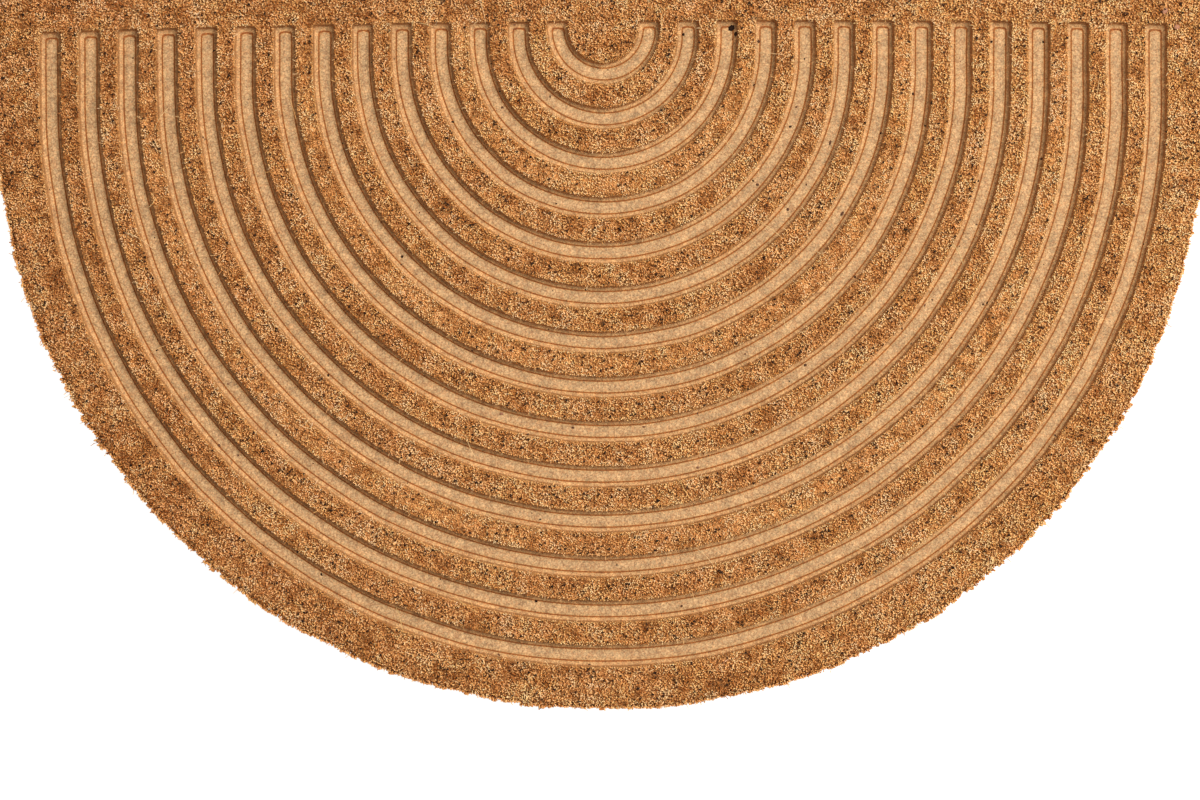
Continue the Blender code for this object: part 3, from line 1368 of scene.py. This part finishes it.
@dataclass(frozen=True)
class PressedCoir:
    """Coir fused by a hot stamp: a pale smooth band, scorched along the stamp's two edges, with
    tan walls where the pile was sheared down and melted together."""

    name: str = "heat_pressed_coir"
    # Inset from the channel's mouth in mm, with the colour there
    stops: tuple[tuple[float, str], ...] = (
        (0.0, "#ab733f"),
        (0.5, "#bb8650"),
        (1.0, "#c99661"),
        # The stop at 1.5 mm is a little lighter than its neighbours: a painted highlight along the
        # raised lip of the foot
        (1.5, "#cb9e6a"),
        (1.9, "#c69862"),
        (2.95, "#c59762"),
        (3.15, "#aa6930"),
        (3.4, "#8e4e17"),
        (3.6, "#8e4e17"),
        (3.85, "#af7133"),
        (4.15, "#c09866"),
        (7.2, "#c29b6d"),
    )
    deepest: float = 7.2
    # Lumps of a size in mm, and the least and greatest light that they give back
    mottles: tuple[tuple[float, float, float], ...] = ((0.9, 0.42, 1.46), (6.0, 0.72, 1.12))
    # Prints of single fibres: size of the net and of its sway in mm, width and strength of a line
    print_mm: float = 3.2
    print_sway_mm: float = 4.0
    print_bend: float = 5.0 * MM
    print_width: float = 0.15
    print_strength: float = 0.45
    print_colour: str = "#c8925e"
    # Specks of dark pith, one to a cell of this size in mm, shown in the cells above this value
    speck_mm: float = 5.0
    speck_size: tuple[float, float] = (0.05, 0.1)
    speck_from: float = 0.7
    speck_strength: float = 0.9
    speck_colour: str = "#5b3a26"
    roughness: float = 0.7
    specular: float = 0.3
    relief: float = 0.16 * MM

    def build(self) -> bpy.types.Material:
        """Builds the material.

        Returns:
            The finished material.
        """
        material, tree, shader = new_material(self.name, self.roughness, self.specular)
        inset = add_node(tree, "ShaderNodeAttribute", {"attribute_name": "channel_inset"})
        inputs = {"Value": inset.outputs["Fac"], "From Max": self.deepest}
        share = add_node(tree, "ShaderNodeMapRange", inputs=inputs)
        ramp = add_node(tree, "ShaderNodeValToRGB", inputs={"Fac": share.outputs["Result"]})
        set_ramp(ramp, tuple((at / self.deepest, colour) for at, colour in self.stops))
        place = add_node(tree, "ShaderNodeTexCoord").outputs["Object"]
        colour, lumps = ramp.outputs["Color"], []
        for size, least, most in self.mottles:
            inputs = {"Vector": place, "Scale": 1 / (size * MM), "Detail": 4.0, "Roughness": 0.65}
            lumps.append(add_node(tree, "ShaderNodeTexNoise", inputs=inputs).outputs["Fac"])
            inputs = {"Value": lumps[-1], 1: 0.3, 2: 0.7, 3: least, 4: most}
            light = add_node(tree, "ShaderNodeMapRange", inputs=inputs)
            inputs = {0: 1.0, 6: colour, 7: light.outputs["Result"]}
            colour = add_node(tree, "ShaderNodeMix", MULTIPLY, inputs).outputs[2]
        # The prints are thin bent lines, a little darker and redder
        inputs = {"Vector": place, "Scale": 1 / (self.print_sway_mm * MM), "Detail": 2.0}
        sway = add_node(tree, "ShaderNodeTexNoise", inputs=inputs)
        inputs = {0: sway.outputs["Color"], 1: (self.print_bend, self.print_bend, 0.0), 2: place}
        bent = add_node(tree, "ShaderNodeVectorMath", {"operation": "MULTIPLY_ADD"}, inputs)
        inputs = {"Vector": bent.outputs["Vector"], "Scale": 1 / (self.print_mm * MM)}
        prints = add_node(tree, "ShaderNodeTexVoronoi", {"feature": "DISTANCE_TO_EDGE"}, inputs)
        inputs = {0: prints.outputs["Distance"], 2: self.print_width, 3: self.print_strength, 4: 0.0}
        line = add_node(tree, "ShaderNodeMapRange", inputs=inputs)
        inputs = {0: line.outputs["Result"], 6: colour, 7: linear(self.print_colour)}
        printed = add_node(tree, "ShaderNodeMix", MULTIPLY, inputs)
        inputs = {"Vector": place, "Scale": 1 / (self.speck_mm * MM)}
        specks = add_node(tree, "ShaderNodeTexVoronoi", inputs=inputs)
        full, none = self.speck_size
        inputs = {0: specks.outputs["Distance"], 1: full, 2: none, 3: 1.0, 4: 0.0}
        spot = add_node(tree, "ShaderNodeMapRange", inputs=inputs)
        chosen = add_node(tree, "ShaderNodeSeparateColor", inputs={0: specks.outputs["Color"]})
        inputs = {0: chosen.outputs["Red"], 1: self.speck_from, 3: 0.0, 4: self.speck_strength}
        shown = add_node(tree, "ShaderNodeMapRange", inputs=inputs)
        inputs = {0: spot.outputs["Result"], 1: shown.outputs["Result"]}
        both = add_node(tree, "ShaderNodeMath", {"operation": "MULTIPLY"}, inputs)
        inputs = {0: both.outputs["Value"], 6: printed.outputs[2], 7: linear(self.speck_colour)}
        speckled = add_node(tree, "ShaderNodeMix", BLEND, inputs)
        tree.links.new(speckled.outputs[2], shader.inputs["Base Color"])
        inputs = {"Height": lumps[0], "Distance": self.relief}
        bump = add_node(tree, "ShaderNodeBump", inputs=inputs)
        tree.links.new(bump.outputs["Normal"], shader.inputs["Normal"])
        return material


@dataclass(frozen=True)
class PileRoots:
    """The roots of the pile between the standing fibres: matted brown coir, painted dark as shade in
    the gaps between the fibres.
    """

    name: str = "matted_coir_roots"
    # Brown coir colours, darkened as painted shade for the deep gaps between the fibres
    stops: tuple[tuple[float, str], ...] = ((0.38, "#452610"), (0.5, "#9a6233"), (0.62, "#d2985c"))
    # Beside a channel the pile is half melted, and lighter
    fused_colour: str = "#bd864c"
    fused_share: float = 0.55
    # Insets in mm between which the pile becomes fused
    fused_from: float = -1.6
    fused_to: float = 0.1
    grain_mm: float = 1.1
    patch_mm: float = 5.0
    patch_light: tuple[float, float] = (0.62, 1.3)
    roughness: float = 0.95
    specular: float = 0.2
    relief: float = 0.5 * MM

    def build(self) -> bpy.types.Material:
        """Builds the material.

        Returns:
            The finished material.
        """
        material, tree, shader = new_material(self.name, self.roughness, self.specular)
        place = add_node(tree, "ShaderNodeTexCoord").outputs["Object"]
        inputs = {"Vector": place, "Scale": 1 / (self.grain_mm * MM), "Detail": 4.0, "Roughness": 0.7}
        grain = add_node(tree, "ShaderNodeTexNoise", inputs=inputs)
        ramp = add_node(tree, "ShaderNodeValToRGB", inputs={"Fac": grain.outputs["Fac"]})
        set_ramp(ramp, self.stops)
        inset = add_node(tree, "ShaderNodeAttribute", {"attribute_name": "channel_inset"})
        levels = (inset.outputs["Fac"], self.fused_from, self.fused_to, 0.0, self.fused_share)
        fused = add_node(tree, "ShaderNodeMapRange", inputs=dict(enumerate(levels)))
        inputs = {0: fused.outputs["Result"], 6: ramp.outputs["Color"], 7: linear(self.fused_colour)}
        mixed = add_node(tree, "ShaderNodeMix", BLEND, inputs)
        inputs = {"Vector": place, "Scale": 1 / (self.patch_mm * MM)}
        patches = add_node(tree, "ShaderNodeTexNoise", inputs=inputs)
        levels = (patches.outputs["Fac"], 0.3, 0.7, *self.patch_light)
        light = add_node(tree, "ShaderNodeMapRange", inputs=dict(enumerate(levels)))
        inputs = {0: 1.0, 6: mixed.outputs[2], 7: light.outputs["Result"]}
        lit = add_node(tree, "ShaderNodeMix", MULTIPLY, inputs)
        tree.links.new(lit.outputs[2], shader.inputs["Base Color"])
        inputs = {"Height": grain.outputs["Fac"], "Distance": self.relief}
        bump = add_node(tree, "ShaderNodeBump", inputs=inputs)
        tree.links.new(bump.outputs["Normal"], shader.inputs["Normal"])
        return material


@dataclass(frozen=True)
class DriedPith:
    """Pith and husk skin between the fibres, dried to dull dark crumbs, some of them reddish."""

    name: str = "dried_husk_pith"
    stops: tuple[tuple[float, str], ...] = ((0.0, "#221207"), (0.5, "#684430"), (1.0, "#a8755a"))
    roughness: float = 0.9
    specular: float = 0.2

    def build(self) -> bpy.types.Material:
        """Builds the material.

        Returns:
            The finished material.
        """
        material, tree, shader = new_material(self.name, self.roughness, self.specular)
        tone = add_node(tree, "ShaderNodeAttribute", {"attribute_name": "tone"})
        ramp = add_node(tree, "ShaderNodeValToRGB", inputs={"Fac": tone.outputs["Fac"]})
        set_ramp(ramp, self.stops)
        tree.links.new(ramp.outputs["Color"], shader.inputs["Base Color"])
        return material


@dataclass
class Studio:
    """Pale floor, soft light from the upper right, and a camera straight above the mat."""

    plan: MatPlan
    camera_height: float = 2.5
    sensor: float = 36.0
    pixel: float = 0.6178 * MM
    picture_width_px: float = 1200.0
    picture_height_px: float = 800.0
    arc_centre_px: tuple[float, float] = (602.4, 103.07)
    # The floor glows white from within, so that the mat's thin shadow doesn't show on it
    floor_colour: str = "#8c8b89"
    floor_glow_colour: str = "#fbfaf8"
    floor_glow: float = 1.02
    floor_roughness: float = 0.9
    floor_specular: float = 0.1
    floor_half: float = 4.0
    key_power: float = 268.0
    key_size: float = 1.9
    key_from: tuple[float, float, float] = (1.62, 0.89, 4.0)
    sky: float = 0.29

    def plan_place(self, across_px: float, down_px: float) -> tuple[float, float]:
        """Where a pixel of the picture lies on the pile, about the centre of the round edge."""
        return (
            (across_px - self.arc_centre_px[0]) * self.pixel,
            (self.arc_centre_px[1] - down_px) * self.pixel,
        )

    def build(self) -> None:
        """Builds the floor, the lights and the camera."""
        self.add_floor()
        self.add_lights()
        self.add_camera()

    def add_floor(self) -> None:
        """Lays a wide flat floor under the mat."""
        bm = bmesh.new()
        bmesh.ops.create_grid(bm, x_segments=4, y_segments=4, size=self.floor_half)
        floor = new_object("studio_floor", bm)
        material, _, shader = new_material(
            "backlit_studio_floor", self.floor_roughness, self.floor_specular
        )
        shader.inputs["Base Color"].default_value = linear(self.floor_colour)
        shader.inputs["Emission Color"].default_value = linear(self.floor_glow_colour)
        shader.inputs["Emission Strength"].default_value = self.floor_glow
        floor.data.materials.append(material)

    def add_lights(self) -> None:
        """Adds a large soft key light and an even pale surround."""
        light = bpy.data.lights.new("key_softbox", "AREA")
        light.shape = "SQUARE"
        light.size = self.key_size
        light.energy = self.key_power
        key = bpy.data.objects.new("key_softbox", light)
        key.location = self.key_from
        key.rotation_euler = Vector(self.key_from).to_track_quat("Z", "Y").to_euler()
        bpy.context.scene.collection.objects.link(key)
        world = bpy.data.worlds.new("pale_studio")
        world.use_nodes = True
        surround = world.node_tree.nodes["Background"]
        surround.inputs["Color"].default_value = (1.0, 1.0, 1.0, 1.0)
        surround.inputs["Strength"].default_value = self.sky
        bpy.context.scene.world = world
        bpy.context.scene.view_settings.view_transform = "Standard"

    def add_camera(self) -> None:
        """Puts the camera over the mat's middle, shifted only as the picture's framing needs."""
        top = CAD_HIGH.z
        width = self.picture_width_px * self.pixel
        middle_x = (self.picture_width_px / 2 - self.arc_centre_px[0]) * self.pixel
        below = (self.picture_height_px / 2 - self.arc_centre_px[1]) * self.pixel
        middle_y = self.plan.arc_centre_y - below
        data = bpy.data.cameras.new("camera")
        data.sensor_width = self.sensor
        data.lens = self.sensor * (self.camera_height - top) / width
        data.shift_y = middle_y / width
        camera = bpy.data.objects.new("camera", data)
        camera.location = (middle_x, 0.0, self.camera_height)
        bpy.context.scene.collection.objects.link(camera)
        bpy.context.scene.camera = camera


def dress(piece: bpy.types.Object, *finishes: bpy.types.Material) -> None:
    """Gives a piece its materials and its body, and logs its number of faces."""
    for finish in finishes:
        piece.data.materials.append(finish)
    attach(piece, BODY)
    LOG.info("%s: %d faces", piece.name, len(piece.data.polygons))


def main() -> None:
    """Builds the mat and the studio in order."""
    logging.basicConfig(level=logging.INFO, format="%(message)s")
    plan = MatPlan()
    relief = MatRelief(plan)
    studio = Studio(plan)
    studio.build()

    fibre = CutCoirFibre().build()
    body = MatBody(plan, relief).build()
    roots = PileRoots().build()
    dress(body, PressedCoir().build(), roots, roots)
    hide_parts(NODE)
    pieces = [*Pile(plan, relief).build(), Rim(plan).build()]
    bits = LooseBits(plan, relief, studio)
    pieces.append(bits.fibres())
    for piece in pieces:
        dress(piece, fibre)
    crumbs = bits.crumbs()
    dress(crumbs, DriedPith().build())
    pieces.append(crumbs)


if __name__ == "__main__":
    main()
